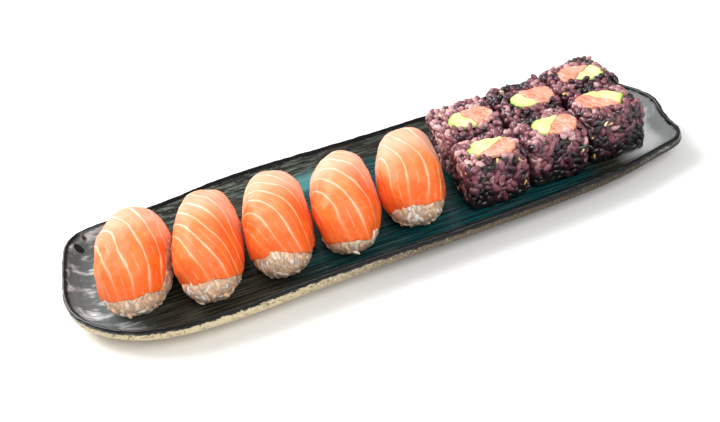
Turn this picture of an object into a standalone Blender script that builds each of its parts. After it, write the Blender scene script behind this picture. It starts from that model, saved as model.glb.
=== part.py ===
"""Sushi for one on a long hand-made stoneware plate.

Five salmon nigiri stand in a row on the left of the plate, and six square
pieces of a black rice roll stand in two rows on its right.  Each nigiri is a
finger of white rice under a slice of raw salmon.  Each roll piece is a block
of black rice with a stick of avocado and a stick of salmon running through
it from cut to cut.

Metres, +Z up.  +X runs along the plate towards the rolls and +Y away from
the diner.  The origin is on the table, under the middle of the plate.
"""

import math
import random

import bmesh
import bpy
from mathutils import Matrix, Vector

# Plate
PLATE_LENGTH = 0.310
PLATE_WIDTH = 0.107
RIM_HEIGHT = 0.0155
RIM_WAVE = 0.0006
FLOOR_HEIGHT = 0.0070
BAND_HEIGHT = 0.0050
WALL_WIDTH = 0.0185
RIM_ROUNDING = 0.0008
PLATE_SEGMENTS = 60

# Touching pieces keep this gap
GAP = 0.0003

# Nigiri
NIGIRI_WAIST = 0.0125
SALMON_THICKNESS = 0.0042
SLICE_STEPS = 8

# Roll pieces
ROLL_WIDTH = 0.0314
FRONT_DEPTH = 0.0275
BACK_DEPTH = 0.0310
ROLL_HEIGHT = 0.0270
ROLL_ROUNDING = 0.0034
STICK_ROUNDING = 0.0006
CUT_OVERRUN = 0.0020

# One cooked grain, and one sesame seed: length, width, thickness
GRAIN = (0.0064, 0.0030, 0.0027)
SEED = (0.0032, 0.0021, 0.0012)

# Grains and seeds that a whole covering would take; those that would be hidden are left out
NIGIRI_GRAINS = 44
ROLL_GRAINS = 30
SEED_EVERY = 11

# How far the roll's core stands inside its grains, and how far grains keep from its edges
CORE_INSET = (0.0012, 0.0012, 0.0006)
EDGE_ROOM = 0.0044
GRAIN_SINK = 0.98

# A nigiri's grains stop where its surface turns under, at this share of straight down
LOWEST_GRAIN = -0.60

# Exponents of the rounded forms: 2 is an ellipse, more is squarer
FILLING_SQUARENESS = 2.4
SECTION_SQUARENESS = 2.5
NEAR_SQUARENESS = 2.6
FAR_SQUARENESS = 2.4
SLICE_SQUARENESS = 4.0

parts = bpy.data.collections.new("sushi_plate")
cutters = bpy.data.collections.new("cutters")


def clear_scene():
    for obj in list(bpy.data.objects):
        bpy.data.objects.remove(obj, do_unlink=True)
    bpy.context.scene.collection.children.link(parts)
    bpy.context.scene.collection.children.link(cutters)


def make_material(name, colour, roughness, metallic=0.0):
    material = bpy.data.materials.new(name)
    material.use_nodes = True
    shader = material.node_tree.nodes["Principled BSDF"]
    shader.inputs["Base Color"].default_value = (*colour, 1.0)
    shader.inputs["Roughness"].default_value = roughness
    shader.inputs["Metallic"].default_value = metallic
    return material


def add_object(name, bm, collection, material=None):
    """Turn a finished bmesh into an object of the collection."""
    bmesh.ops.recalc_face_normals(bm, faces=bm.faces)
    mesh = bpy.data.meshes.new(name)
    bm.to_mesh(mesh)
    bm.free()
    obj = bpy.data.objects.new(name, mesh)
    collection.objects.link(obj)
    if material:
        mesh.materials.append(material)
    if collection is cutters:
        obj.hide_render = True
        obj.display_type = "WIRE"
    return obj


def apply_modifiers(obj):
    depsgraph = bpy.context.evaluated_depsgraph_get()
    mesh = bpy.data.meshes.new_from_object(obj.evaluated_get(depsgraph))
    obj.modifiers.clear()
    obj.data = mesh


# Plate: a slab of clay cut by hand and turned up at its edges

# Corners of the outline that was cut, round from the left end
PLATE_CORNERS = (
    (-0.1548, -0.0080), (-0.1525, 0.0170), (-0.1480, 0.0420), (-0.1340, 0.0480),
    (-0.0960, 0.0485), (-0.0660, 0.0550), (0.0000, 0.0530), (0.0540, 0.0545),
    (0.1000, 0.0525), (0.1330, 0.0450), (0.1490, 0.0230), (0.1560, 0.0040),
    (0.1515, -0.0120), (0.1530, -0.0310), (0.1350, -0.0360), (0.1090, -0.0440),
    (0.0490, -0.0478), (-0.0310, -0.0492), (-0.0890, -0.0532), (-0.1225, -0.0478),
    (-0.1460, -0.0295))


def cut_corners(points):
    """Round a closed outline by cutting each corner at its quarter points."""
    rounded = []
    for index, start in enumerate(points):
        end = points[(index + 1) % len(points)]
        rounded.append(start.lerp(end, 0.25))
        rounded.append(start.lerp(end, 0.75))
    return rounded


def spread_evenly(points, count):
    """Points at equal steps along a closed outline."""
    closed = points + points[:1]
    steps = [(b - a).length for a, b in zip(closed, closed[1:])]
    total = sum(steps)
    even = []
    index = 0
    travelled = 0.0
    for number in range(count):
        target = total * number / count
        while travelled + steps[index] < target:
            travelled += steps[index]
            index += 1
        share = (target - travelled) / steps[index]
        even.append(closed[index].lerp(closed[index + 1], share))
    return even


def plate_outline():
    points = [Vector(corner) for corner in PLATE_CORNERS]
    for _ in range(3):
        points = cut_corners(points)
    points = spread_evenly(points, PLATE_SEGMENTS)
    low = Vector((min(p.x for p in points), min(p.y for p in points)))
    high = Vector((max(p.x for p in points), max(p.y for p in points)))
    middle = (low + high) / 2
    stretch = Vector((PLATE_LENGTH / (high.x - low.x), PLATE_WIDTH / (high.y - low.y)))
    return [(p - middle) * stretch for p in points]


def rim_wave(angle):
    """The uneven lift that fingers left along the rim."""
    return RIM_WAVE * (math.sin(3 * angle + 0.6) + 0.6 * math.sin(7 * angle + 2.0))


def plate_ring(bm, outline, inset, height, lift):
    """One ring of vertices at an inset from the cut edge, towards the plate's spine."""
    spine = (PLATE_LENGTH - PLATE_WIDTH) / 2
    ring = []
    for point in outline:
        centre = Vector((max(-spine, min(spine, point.x)), 0.0))
        place = point + (centre - point).normalized() * inset
        angle = math.atan2(point.y / PLATE_WIDTH, point.x / PLATE_LENGTH)
        ring.append(bm.verts.new((place.x, place.y, height + lift * rim_wave(angle))))
    return ring


def bridge_rings(bm, first, second):
    for index in range(len(first)):
        after = (index + 1) % len(first)
        bm.faces.new((first[index], first[after], second[after], second[index]))


def make_plate():
    """Loft the slab from its flat foot, out and over the rim, and in to its floor."""
    rise = RIM_HEIGHT - FLOOR_HEIGHT
    band_foot = RIM_HEIGHT - BAND_HEIGHT
    sections = (
        (WALL_WIDTH, 0.0, 0.0),
        (0.75 * WALL_WIDTH, 0.10 * band_foot, 0.0),
        (0.42 * WALL_WIDTH, 0.40 * band_foot, 0.0),
        (0.14 * WALL_WIDTH, 0.74 * band_foot, 0.5),
        (0.00 * WALL_WIDTH, band_foot, 1.0),
        (0.01 * WALL_WIDTH, RIM_HEIGHT - RIM_ROUNDING, 1.0),
        (0.06 * WALL_WIDTH, RIM_HEIGHT, 1.0),
        (0.12 * WALL_WIDTH, RIM_HEIGHT - 0.06 * rise, 1.0),
        (0.26 * WALL_WIDTH, FLOOR_HEIGHT + 0.55 * rise, 0.6),
        (0.46 * WALL_WIDTH, FLOOR_HEIGHT + 0.19 * rise, 0.2),
        (0.68 * WALL_WIDTH, FLOOR_HEIGHT + 0.03 * rise, 0.0),
        (0.85 * WALL_WIDTH, FLOOR_HEIGHT, 0.0))
    bm = bmesh.new()
    outline = plate_outline()
    rings = [plate_ring(bm, outline, *section) for section in sections]
    for first, second in zip(rings, rings[1:]):
        bridge_rings(bm, first, second)
    bm.faces.new(rings[0])
    bm.faces.new(rings[-1])
    glaze = make_material("plate_glaze", (0.035, 0.065, 0.065), 0.22)
    plate = add_object("plate", bm, parts, glaze)
    plate.data.shade_smooth()
    plate.data.set_sharp_from_angle(angle=math.radians(50))


# Grains: low ellipsoids, sunk half way into the rice they belong to

def add_grain(bm, centre, normal, turn, size):
    """Lay one grain on the surface, its long axis turned about the normal."""
    grain = bmesh.ops.create_icosphere(bm, subdivisions=1, radius=1.0)
    upright = Vector(normal).to_track_quat("Z", "Y").to_matrix().to_4x4()
    stretch = Matrix.Diagonal((size[0] / 2, size[1] / 2, size[2] / 2, 1.0))
    place = Matrix.Translation(centre) @ upright @ Matrix.Rotation(turn, 4, "Z") @ stretch
    bmesh.ops.transform(bm, matrix=place, verts=grain["verts"])


def even_directions(count):
    """Unit vectors spread evenly over a sphere along a golden spiral."""
    golden = math.pi * (3 - math.sqrt(5))
    directions = []
    for index in range(count):
        height = 1 - (2 * index + 1) / count
        radius = math.sqrt(1 - height * height)
        directions.append(Vector((radius * math.cos(golden * index),
                                  radius * math.sin(golden * index), height)))
    return directions


def fuse(obj, pieces):
    """Join the pieces to the rice in one Boolean union, then drop them."""
    loose = bpy.data.collections.new(obj.name + "_pieces")
    bpy.context.scene.collection.children.link(loose)
    for number, bm in enumerate(pieces):
        add_object(f"{obj.name}_piece_{number}", bm, loose)
    union = obj.modifiers.new("pieces", "BOOLEAN")
    union.operation = "UNION"
    union.operand_type = "COLLECTION"
    union.collection = loose
    union.solver = "EXACT"
    apply_modifiers(obj)
    for piece in list(loose.objects):
        bpy.data.objects.remove(piece, do_unlink=True)
    bpy.data.collections.remove(loose)


# Nigiri: a finger of white rice under a slice of salmon

# Each nigiri's place on the plate, how far it is turned, and its width, length and height
NIGIRI = (
    (-0.1176, -0.0049, -14.0, (0.0362, 0.0610, 0.0362)),
    (-0.0833, -0.0111, -12.8, (0.0326, 0.0650, 0.0364)),
    (-0.0495, -0.0111, -10.2, (0.0326, 0.0630, 0.0369)),
    (-0.0159, -0.0115, -11.6, (0.0324, 0.0606, 0.0368)),
    (0.0180, -0.0078, -10.6, (0.0328, 0.0583, 0.0354)))

# How far each slice drapes from straight up, in degrees: left, right, near and far
SLICES = (
    (104.0, 62.0, 79.0, 94.0),
    (104.0, 84.0, 80.0, 94.0),
    (104.0, 96.0, 77.0, 94.0),
    (104.0, 90.0, 86.0, 94.0),
    (104.0, 98.0, 79.0, 94.0))

# Angle between a slice's cut edge and the rice that stands round it
SLICE_CLEARANCE = math.radians(1.2)

# How far the rice lies inside the nigiri's form under the slice, and where it is bare
UNDER_SLICE = SALMON_THICKNESS + 4 * GAP
BARE_INSET = 0.0012

# Rings of the rice from its top down: share of the slice's reach, then share of the way
# from the slice's edge to straight down, and how far inside the nigiri's form
RICE_RINGS = (
    (0.5, 0.0, UNDER_SLICE),
    (1.0, 0.0, UNDER_SLICE),
    (1.0, 0.0, BARE_INSET),
    (1.0, 0.15, BARE_INSET),
    (1.0, 0.35, BARE_INSET),
    (1.0, 0.60, BARE_INSET),
    (1.0, 0.93, 0.0))

# How far past the slice's edge a grain's middle keeps, as a share of its reach, and how
# near to level a grain may face sideways, where the next nigiri lies against it
GRAIN_PAST_EDGE = 1.13
MOST_SIDEWAYS = 0.85


def pointing(heading, lean):
    """The unit vector that leans from straight up towards a heading."""
    return Vector((math.sin(lean) * math.cos(heading), math.sin(lean) * math.sin(heading), math.cos(lean)))


def loaf_point(number, direction, inset):
    """Where a line from the middle of a nigiri's waist meets its rounded form."""
    width, length, height = NIGIRI[number][3]
    over = height - NIGIRI_WAIST - inset if direction.z > 0 else NIGIRI_WAIST
    ends = NEAR_SQUARENESS if direction.y < 0 else FAR_SQUARENESS
    aside = abs(direction.x) / (width / 2 - inset)
    section = aside ** SECTION_SQUARENESS + (abs(direction.z) / over) ** SECTION_SQUARENESS
    whole = section ** (ends / SECTION_SQUARENESS) + (abs(direction.y) / (length / 2 - inset)) ** ends
    return direction * whole ** (-1 / ends) + Vector((0.0, 0.0, NIGIRI_WAIST))


def nigiri_place(number):
    x, y, turn, _ = NIGIRI[number]
    return Matrix.Translation((x, y, FLOOR_HEIGHT + GAP)) @ Matrix.Rotation(math.radians(turn), 4, "Z")


def slice_reach(number, x, y):
    """How far the slice drapes towards its right or left, and towards its far or near end."""
    left, right, near, far = SLICES[number]
    return math.radians(right if x > 0 else left), math.radians(far if y > 0 else near)


def slice_place(number, x, y):
    """Heading and lean of a place on the slice, which is a square from -1 to 1 when laid flat."""
    if x == y == 0:
        return 0.0, 0.0
    rounded = (abs(x) ** SLICE_SQUARENESS + abs(y) ** SLICE_SQUARENESS) ** (1 / SLICE_SQUARENESS)
    corner = max(abs(x), abs(y)) / rounded
    across, along = slice_reach(number, x, y)
    return math.atan2(y * along, x * across), corner * math.hypot(x * across, y * along)


def share_of_slice(number, direction):
    """0 on top of the nigiri, 1 at the slice's edge, and more on the bare rice."""
    lean = math.acos(direction.z)
    heading = math.atan2(direction.y, direction.x)
    across, along = slice_reach(number, direction.x, direction.y)
    x = abs(lean * math.cos(heading)) / across
    y = abs(lean * math.sin(heading)) / along
    return (x ** SLICE_SQUARENESS + y ** SLICE_SQUARENESS) ** (1 / SLICE_SQUARENESS)


def make_salmon_slice(number, material):
    """Drape a flat sheet over the nigiri, and pull its underside in by its thickness."""
    bm = bmesh.new()
    bmesh.ops.create_grid(bm, x_segments=SLICE_STEPS, y_segments=SLICE_STEPS, size=1.0)
    upper = list(bm.verts)
    for vert in upper:
        vert.co = pointing(*slice_place(number, vert.co.x, vert.co.y))
    sheet = bmesh.ops.extrude_face_region(bm, geom=bm.faces[:], use_keep_orig=True)
    under = [item for item in sheet["geom"] if isinstance(item, bmesh.types.BMVert)]
    for inset, verts in ((0.0, upper), (SALMON_THICKNESS, under)):
        for vert in verts:
            vert.co = loaf_point(number, vert.co, inset)
    bmesh.ops.transform(bm, matrix=nigiri_place(number), verts=bm.verts)
    salmon = add_object(f"nigiri_salmon_{number + 1}", bm, parts, material)
    salmon.data.shade_smooth()
    salmon.data.set_sharp_from_angle(angle=math.radians(50))


def slice_rim():
    """Points at even steps round the square that a flat slice makes."""
    rim = []
    for side in range(4):
        turn = Matrix.Rotation(math.pi / 2 * side, 2)
        for step in range(SLICE_STEPS):
            rim.append(turn @ Vector((1.0, 2 * step / SLICE_STEPS - 1)))
    return rim


def rice_core(number):
    """The pressed rice: hollowed on top for the slice, and rounded below its edge."""
    bm = bmesh.new()
    edge = [slice_place(number, *spot) for spot in slice_rim()]
    rings = []
    for reach, downward, inset in RICE_RINGS:
        ring = []
        for heading, lean in edge:
            lean = (lean + SLICE_CLEARANCE) * reach
            lean += (math.pi - lean) * downward
            ring.append(bm.verts.new(loaf_point(number, pointing(heading, lean), inset)))
        rings.append(ring)
    for first, second in zip(rings, rings[1:]):
        bridge_rings(bm, first, second)
    top = bm.verts.new(loaf_point(number, Vector((0.0, 0.0, 1.0)), UNDER_SLICE))
    for index, vert in enumerate(rings[0]):
        bm.faces.new((vert, rings[0][(index + 1) % len(rings[0])], top))
    bm.faces.new(rings[-1])
    return bm


def make_nigiri_rice(number, material):
    """The pressed rice, with the grains that show below and in front of the slice."""
    place = nigiri_place(number)
    core = rice_core(number)
    bmesh.ops.transform(core, matrix=place, verts=core.verts)
    rice = add_object(f"nigiri_rice_{number + 1}", core, parts, material)

    rng = random.Random(20 + number)
    grains = []
    for direction in even_directions(NIGIRI_GRAINS):
        hidden = share_of_slice(number, direction) < GRAIN_PAST_EDGE or direction.z < LOWEST_GRAIN
        if hidden or abs(direction.x) > MOST_SIDEWAYS:
            continue
        grain = bmesh.new()
        centre = loaf_point(number, direction, BARE_INSET)
        add_grain(grain, centre, direction, rng.uniform(0, math.pi), GRAIN)
        for vert in grain.verts:
            vert.co.z = max(0.0, vert.co.z)
        bmesh.ops.transform(grain, matrix=place, verts=grain.verts)
        grains.append(grain)
    fuse(rice, grains)


# Rolls: blocks of black rice round a stick of avocado and a stick of salmon

# Centre, turn and depth of each piece, front row from the left and then the back row
ROLL_PLACES = (
    (0.0550, -0.0190, 1.0, FRONT_DEPTH),
    (0.0872, -0.0167, 2.0, FRONT_DEPTH),
    (0.1190, -0.0129, 3.0, FRONT_DEPTH),
    (0.0556, 0.0119, 2.0, BACK_DEPTH),
    (0.0878, 0.0133, 1.5, BACK_DEPTH),
    (0.1194, 0.0172, 3.0, BACK_DEPTH))

# Filling of each piece: offset from its centre, turn, turn of the line that
# parts the two sticks, offset of that line, and the side the avocado is on
FILLINGS = (
    ((0.0012, -0.0018), -20.0, 26.0, 0.0000, 1),
    ((0.0024, -0.0024), -18.0, 50.0, 0.0005, 1),
    ((-0.0010, 0.0020), -28.0, -55.0, 0.0010, 1),
    ((0.0020, -0.0036), 0.0, -72.0, -0.0010, -1),
    ((0.0030, -0.0042), -5.0, -70.0, -0.0020, -1),
    ((0.0013, -0.0009), -24.0, 36.0, 0.0000, -1))

FILLING_LENGTH = 0.0225
FILLING_WIDTH = 0.0150
FILLING_SIDES = 16


def roll_place(number):
    x, y, turn = ROLL_PLACES[number][:3]
    return Matrix.Translation((x, y, FLOOR_HEIGHT + GAP)) @ Matrix.Rotation(math.radians(turn), 4, "Z")


def filling_prism(number, grow, low, high):
    """The rounded column that both sticks make together, grown by a margin."""
    bm = bmesh.new()
    bmesh.ops.create_cone(bm, cap_ends=True, segments=FILLING_SIDES, radius1=1.0, radius2=1.0, depth=2.0)
    offset, turn = FILLINGS[number][:2]
    for vert in bm.verts:
        squarer = abs(vert.co.x) ** FILLING_SQUARENESS + abs(vert.co.y) ** FILLING_SQUARENESS
        vert.co *= squarer ** (-1 / FILLING_SQUARENESS)
        vert.co.x *= FILLING_LENGTH / 2 + grow
        vert.co.y *= FILLING_WIDTH / 2 + grow
        vert.co.z = high if vert.co.z > 0 else low
    bmesh.ops.rotate(bm, verts=bm.verts, matrix=Matrix.Rotation(math.radians(turn), 3, "Z"))
    bmesh.ops.translate(bm, verts=bm.verts, vec=(*offset, 0.0))
    return bm


def make_stick(number, name, side, material):
    """Cut one stick's half from the column, clear of the other stick."""
    bm = filling_prism(number, 0.0, 0.0, ROLL_HEIGHT)
    offset, _, line_turn, line_offset, _ = FILLINGS[number]
    line = math.radians(line_turn)
    normal = Vector((-math.sin(line), math.cos(line), 0.0))
    middle = Vector((*offset, 0.0)) + normal * line_offset
    cut = bmesh.ops.bisect_plane(
        bm, geom=bm.verts[:] + bm.edges[:] + bm.faces[:],
        plane_co=middle + normal * side * GAP / 2, plane_no=normal * side, clear_inner=True)
    edges = [item for item in cut["geom_cut"] if isinstance(item, bmesh.types.BMEdge)]
    bmesh.ops.holes_fill(bm, edges=edges, sides=0)
    bmesh.ops.transform(bm, matrix=roll_place(number), verts=bm.verts)
    stick = add_object(f"{name}_{number + 1}", bm, parts, material)
    rounding = stick.modifiers.new("rounding", "BEVEL")
    rounding.width = STICK_ROUNDING
    rounding.segments = 1
    rounding.limit_method = "ANGLE"
    rounding.angle_limit = math.radians(60)


def block_surface(direction, half):
    """Where a line from the block's middle leaves it, and that face's normal.

    The place keeps off the block's rounded edges, where a grain would hang free.
    """
    shares = [abs(direction[axis]) / half[axis] for axis in range(3)]
    face_axis = shares.index(max(shares))
    normal = Vector((0.0, 0.0, 0.0))
    normal[face_axis] = math.copysign(1.0, direction[face_axis])
    point = direction / shares[face_axis]
    for axis in range(3):
        if axis != face_axis:
            room = half[axis] - EDGE_ROOM
            point[axis] = max(-room, min(room, point[axis]))
    return point, normal


def roll_grain(point, normal, turn, size, half):
    """One grain or seed, pressed flat where it would pass the block's outside."""
    bm = bmesh.new()
    add_grain(bm, point, normal, turn, size)
    for vert in bm.verts:
        for axis in range(3):
            vert.co[axis] = max(-half[axis], min(half[axis], vert.co[axis]))
    return bm


def make_roll_rice(number, material):
    """The block of rice: a core, the grains that show, and the way through it."""
    outer = Vector((ROLL_WIDTH, ROLL_PLACES[number][3], ROLL_HEIGHT)) / 2
    core = outer - Vector(CORE_INSET)
    lift = Matrix.Translation((0.0, 0.0, ROLL_HEIGHT / 2))
    place = roll_place(number) @ lift

    bm = bmesh.new()
    bmesh.ops.create_cube(bm, size=2.0)
    bmesh.ops.scale(bm, vec=core, verts=bm.verts)
    bmesh.ops.bevel(bm, geom=bm.edges[:], offset=ROLL_ROUNDING, segments=1, affect="EDGES", profile=0.5)
    bmesh.ops.transform(bm, matrix=place, verts=bm.verts)
    rice = add_object(f"roll_rice_{number + 1}", bm, parts, material)

    rng = random.Random(60 + number)
    grains = []
    for index, direction in enumerate(even_directions(ROLL_GRAINS)):
        point, normal = block_surface(direction, core)
        if normal.z < 0:
            continue
        size = SEED if index % SEED_EVERY == 1 else GRAIN
        grain = roll_grain(point * GRAIN_SINK, normal, rng.uniform(0, math.pi), size, outer)
        bmesh.ops.transform(grain, matrix=place, verts=grain.verts)
        grains.append(grain)
    fuse(rice, grains)

    column = filling_prism(number, GAP, -CUT_OVERRUN, ROLL_HEIGHT + CUT_OVERRUN)
    bmesh.ops.transform(column, matrix=roll_place(number), verts=column.verts)
    cutter = add_object(f"filling_way_{number + 1}", column, cutters)
    way = rice.modifiers.new("filling_way", "BOOLEAN")
    way.operation = "DIFFERENCE"
    way.object = cutter
    way.solver = "EXACT"


def make_nigiri():
    white_rice = make_material("white_rice", (0.72, 0.64, 0.55), 0.35)
    salmon = make_material("salmon", (0.86, 0.24, 0.08), 0.32)
    for number in range(len(NIGIRI)):
        make_nigiri_rice(number, white_rice)
        make_salmon_slice(number, salmon)


def make_rolls():
    black_rice = make_material("black_rice", (0.05, 0.018, 0.025), 0.35)
    avocado = make_material("avocado", (0.66, 0.75, 0.27), 0.45)
    salmon = make_material("salmon_stick", (0.80, 0.32, 0.20), 0.38)
    for number in range(len(ROLL_PLACES)):
        make_roll_rice(number, black_rice)
        avocado_side = FILLINGS[number][4]
        make_stick(number, "roll_avocado", avocado_side, avocado)
        make_stick(number, "roll_salmon", -avocado_side, salmon)


clear_scene()
make_plate()
make_nigiri()
make_rolls()
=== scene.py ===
"""The sushi plate's looks: glazed stoneware, salmon nigiri and black rice rolls."""

import math

import bpy
import numpy as np
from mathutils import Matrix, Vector, noise


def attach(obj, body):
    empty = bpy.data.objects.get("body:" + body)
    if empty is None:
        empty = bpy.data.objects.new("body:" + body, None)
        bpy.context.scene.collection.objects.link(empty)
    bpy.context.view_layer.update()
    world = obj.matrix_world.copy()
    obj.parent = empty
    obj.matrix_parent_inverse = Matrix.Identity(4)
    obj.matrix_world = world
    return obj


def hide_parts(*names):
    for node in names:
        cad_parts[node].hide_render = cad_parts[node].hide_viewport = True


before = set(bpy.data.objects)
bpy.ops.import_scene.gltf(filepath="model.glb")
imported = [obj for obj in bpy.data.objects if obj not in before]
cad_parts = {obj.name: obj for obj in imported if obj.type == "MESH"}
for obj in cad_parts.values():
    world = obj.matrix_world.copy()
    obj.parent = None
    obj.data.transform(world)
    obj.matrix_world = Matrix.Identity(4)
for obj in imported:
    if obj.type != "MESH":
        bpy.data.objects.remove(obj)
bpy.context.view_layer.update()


# Stoneware plate: one hand-cut slab of coarse clay, turned up at its edges and combed
# along its length. Its face is glazed charcoal with teal in the middle, the glaze ends
# in a thick dark bead on the rim, and the cut edge below is left bare and sandy.

MM = 0.001
PLATE_SIZE = np.array((310.0, 107.0))
PLATE_AROUND = 480
CORNER_CUTS = 4
RIM_WAVE = 0.6
# The slab's corners as it was cut, before they were rounded off
PLATE_CORNERS = (
    (-154.8, -8.0), (-152.5, 17.0), (-148.0, 42.0), (-134.0, 48.0), (-96.0, 48.5), (-66.0, 55.0),
    (0.0, 53.0), (54.0, 54.5), (100.0, 52.5), (133.0, 45.0), (149.0, 23.0), (156.0, 4.0),
    (151.5, -12.0), (153.0, -31.0), (135.0, -36.0), (109.0, -44.0), (49.0, -47.8),
    (-31.0, -49.2), (-89.0, -53.2), (-122.5, -47.8), (-146.0, -29.5))
# How far in from the cut edge and how high, from the foot over the rim to the floor
PLATE_PROFILE = (
    (18.5, 0.0), (13.9, 1.05), (7.8, 4.2), (2.6, 7.8), (0.15, 10.2), (0.0, 11.5), (0.1, 14.4), (0.5, 15.3),
    (1.2, 15.5), (2.0, 15.2), (3.0, 13.9), (4.8, 11.7), (8.5, 8.6), (12.6, 7.25), (15.7, 7.0))
PROFILE_STEP = 0.55
PROFILE_SOFTENINGS = 2
# How far towards the middle the floor's rings lie, and how much profile each one adds
FLOOR_SHARES = (0.06, 0.14, 0.24, 0.35, 0.46, 0.57, 0.68, 0.79, 0.89, 0.97)
FLOOR_STEP = 4.0
HIGHEST_RIM = 16.4
# Two drops of black glaze by the far left corner: their places and radii
GLAZE_SPOTS = ((-143.0, 36.0, 1.8), (-139.2, 41.0, 0.8))


def paint(code):
    """A colour from its hex code, in the linear values that a shader takes."""
    shades = [int(code[place:place + 2], 16) / 255 for place in (0, 2, 4)]
    linear = [shade / 12.92 if shade < 0.04 else ((shade + 0.055) / 1.055) ** 2.4 for shade in shades]
    return linear + [1.0]


class Socket:
    """An output in a finish's nodes. Operators add Math nodes, and node() adds any other."""

    def __init__(self, tree, output=None):
        self.tree = tree
        self.output = output

    def node(self, kind, settings=None, values=None, give=0):
        """Add a node: its type, its settings, then the values or links of its sockets."""
        made = self.tree.nodes.new(kind)
        for name, value in (settings or {}).items():
            setattr(made, name, value)
        for name, value in (values or {}).items():
            if isinstance(value, Socket):
                self.tree.links.new(value.output, made.inputs[name])
            else:
                made.inputs[name].default_value = value
        return Socket(self.tree, made.outputs[give])

    def maths(self, operation, *values):
        return self.node("ShaderNodeMath", {"operation": operation}, dict(enumerate(values)))

    def __add__(self, other):
        return self.maths("ADD", self, other)

    def __sub__(self, other):
        return self.maths("SUBTRACT", self, other)

    def __rsub__(self, other):
        return self.maths("SUBTRACT", other, self)

    def __mul__(self, other):
        return self.maths("MULTIPLY", self, other)

    def __truediv__(self, other):
        return self.maths("DIVIDE", self, other)

    __radd__ = __add__
    __rmul__ = __mul__

    def __abs__(self):
        return self.maths("ABSOLUTE", self)

    def fraction(self):
        """What this value has beyond a whole number."""
        return self.maths("FRACT", self)

    def part(self, axis):
        """One of a vector's three numbers."""
        return self.node("ShaderNodeSeparateXYZ", None, {0: self}, give=axis)

    def rise(self, low, high):
        """Go smoothly from 0 to 1 while this value goes from low to high."""
        return self.node("ShaderNodeMapRange", {"interpolation_type": "SMOOTHSTEP"},
                         {"Value": self, "From Min": low, "From Max": high})

    def tint(self, low, high):
        """Mix two colours by this value, each of them a hex code or a socket."""
        low, high = (paint(colour) if isinstance(colour, str) else colour for colour in (low, high))
        return self.node("ShaderNodeMix", {"data_type": "RGBA"}, {0: self, 6: low, 7: high}, give=2)

    def grain(self, size, detail=2.0, roughness=0.5):
        """Noise with features of that size in millimetres, or of a size each along X, Y and Z."""
        scale = [1 / (MM * length) for length in np.broadcast_to(size, 3)]
        spread = self.node("ShaderNodeVectorMath", {"operation": "MULTIPLY"}, {0: self, 1: scale})
        return spread.node("ShaderNodeTexNoise", None, {
            "Vector": spread, "Scale": 1.0, "Detail": detail, "Roughness": roughness})

    def mark(self, name):
        """The number that each point of the mesh carries under that name."""
        return self.node("ShaderNodeAttribute", {"attribute_name": name}, give="Fac")

    def relief(self, depth):
        """A surface that rises and falls with this value, by depth in millimetres."""
        return self.node("ShaderNodeBump", None, {"Height": self, "Distance": depth * MM})


def new_finish(name, constants):
    """A glossy material with its constant values set, and the place on its surface."""
    finish = bpy.data.materials.new(name)
    finish.use_nodes = True
    shader = finish.node_tree.nodes["Principled BSDF"]
    for socket, value in constants.items():
        shader.inputs[socket].default_value = value
    return finish, Socket(finish.node_tree).node("ShaderNodeNewGeometry")


def feed(finish, links):
    """Link what varies over the surface to the finish's shader."""
    shader = finish.node_tree.nodes["Principled BSDF"]
    for socket, value in links.items():
        finish.node_tree.links.new(value.output, shader.inputs[socket])


def bumps(points, size, seed):
    """Smooth noise from -1 to 1 at each point, with features of that size."""
    shift = Vector((seed, 2.3 * seed, 4.1 * seed))
    return np.array([noise.noise(Vector(point) / size + shift) for point in points])


def ease(value, low, high):
    """0 below low, 1 above high, and a smooth rise between."""
    share = np.clip((value - low) / (high - low), 0.0, 1.0)
    return share * share * (3 - 2 * share)


def bridge(rings, around):
    """Quads between closed rings of points that lie one after the other."""
    start = np.arange(around)
    after = np.roll(start, -1)
    rows = (np.arange(rings - 1) * around)[:, None]
    quads = [rows + start, rows + after, rows + after + around, rows + start + around]
    return np.stack(quads, axis=-1).reshape(-1, 4).tolist()


def close_ends(rings, around):
    """Quads between the rings, and a face over the first ring and over the last."""
    last = (rings - 1) * around
    return bridge(rings, around) + [list(range(around))[::-1], list(range(last, last + around))]


def new_piece(name, points, faces, finish, marks):
    """Make a mesh piece from points in millimetres, and let it ride on the plate's body."""
    mesh = bpy.data.meshes.new(name)
    mesh.from_pydata((np.asarray(points) * MM).tolist(), [], faces)
    for mark, values in marks.items():
        layer = mesh.attributes.new(mark, "FLOAT", "POINT")
        layer.data.foreach_set("value", np.asarray(values, np.float32))
    mesh.materials.append(finish)
    mesh.shade_smooth()
    piece = bpy.data.objects.new(name, mesh)
    bpy.context.scene.collection.objects.link(piece)
    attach(piece, "root")
    return piece


def even_steps(points, count):
    """Points at equal steps along a closed outline."""
    closed = np.vstack([points, points[:1]])
    travelled = np.concatenate([[0.0], np.cumsum(np.linalg.norm(np.diff(closed, axis=0), axis=1))])
    steps = np.linspace(0.0, travelled[-1], count, endpoint=False)
    return np.stack([np.interp(steps, travelled, closed[:, axis]) for axis in (0, 1)], axis=1)


def plate_outline():
    """The slab's outline: hand-cut corners, rounded by cutting each at its quarter points."""
    points = np.array(PLATE_CORNERS)
    for _ in range(CORNER_CUTS):
        after = np.roll(points, -1, axis=0)
        pairs = [0.75 * points + 0.25 * after, 0.25 * points + 0.75 * after]
        points = np.stack(pairs, axis=1).reshape(-1, 2)
    outline = even_steps(points, PLATE_AROUND)
    outline -= (outline.min(axis=0) + outline.max(axis=0)) / 2
    return outline * PLATE_SIZE / np.ptp(outline, axis=0)


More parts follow.
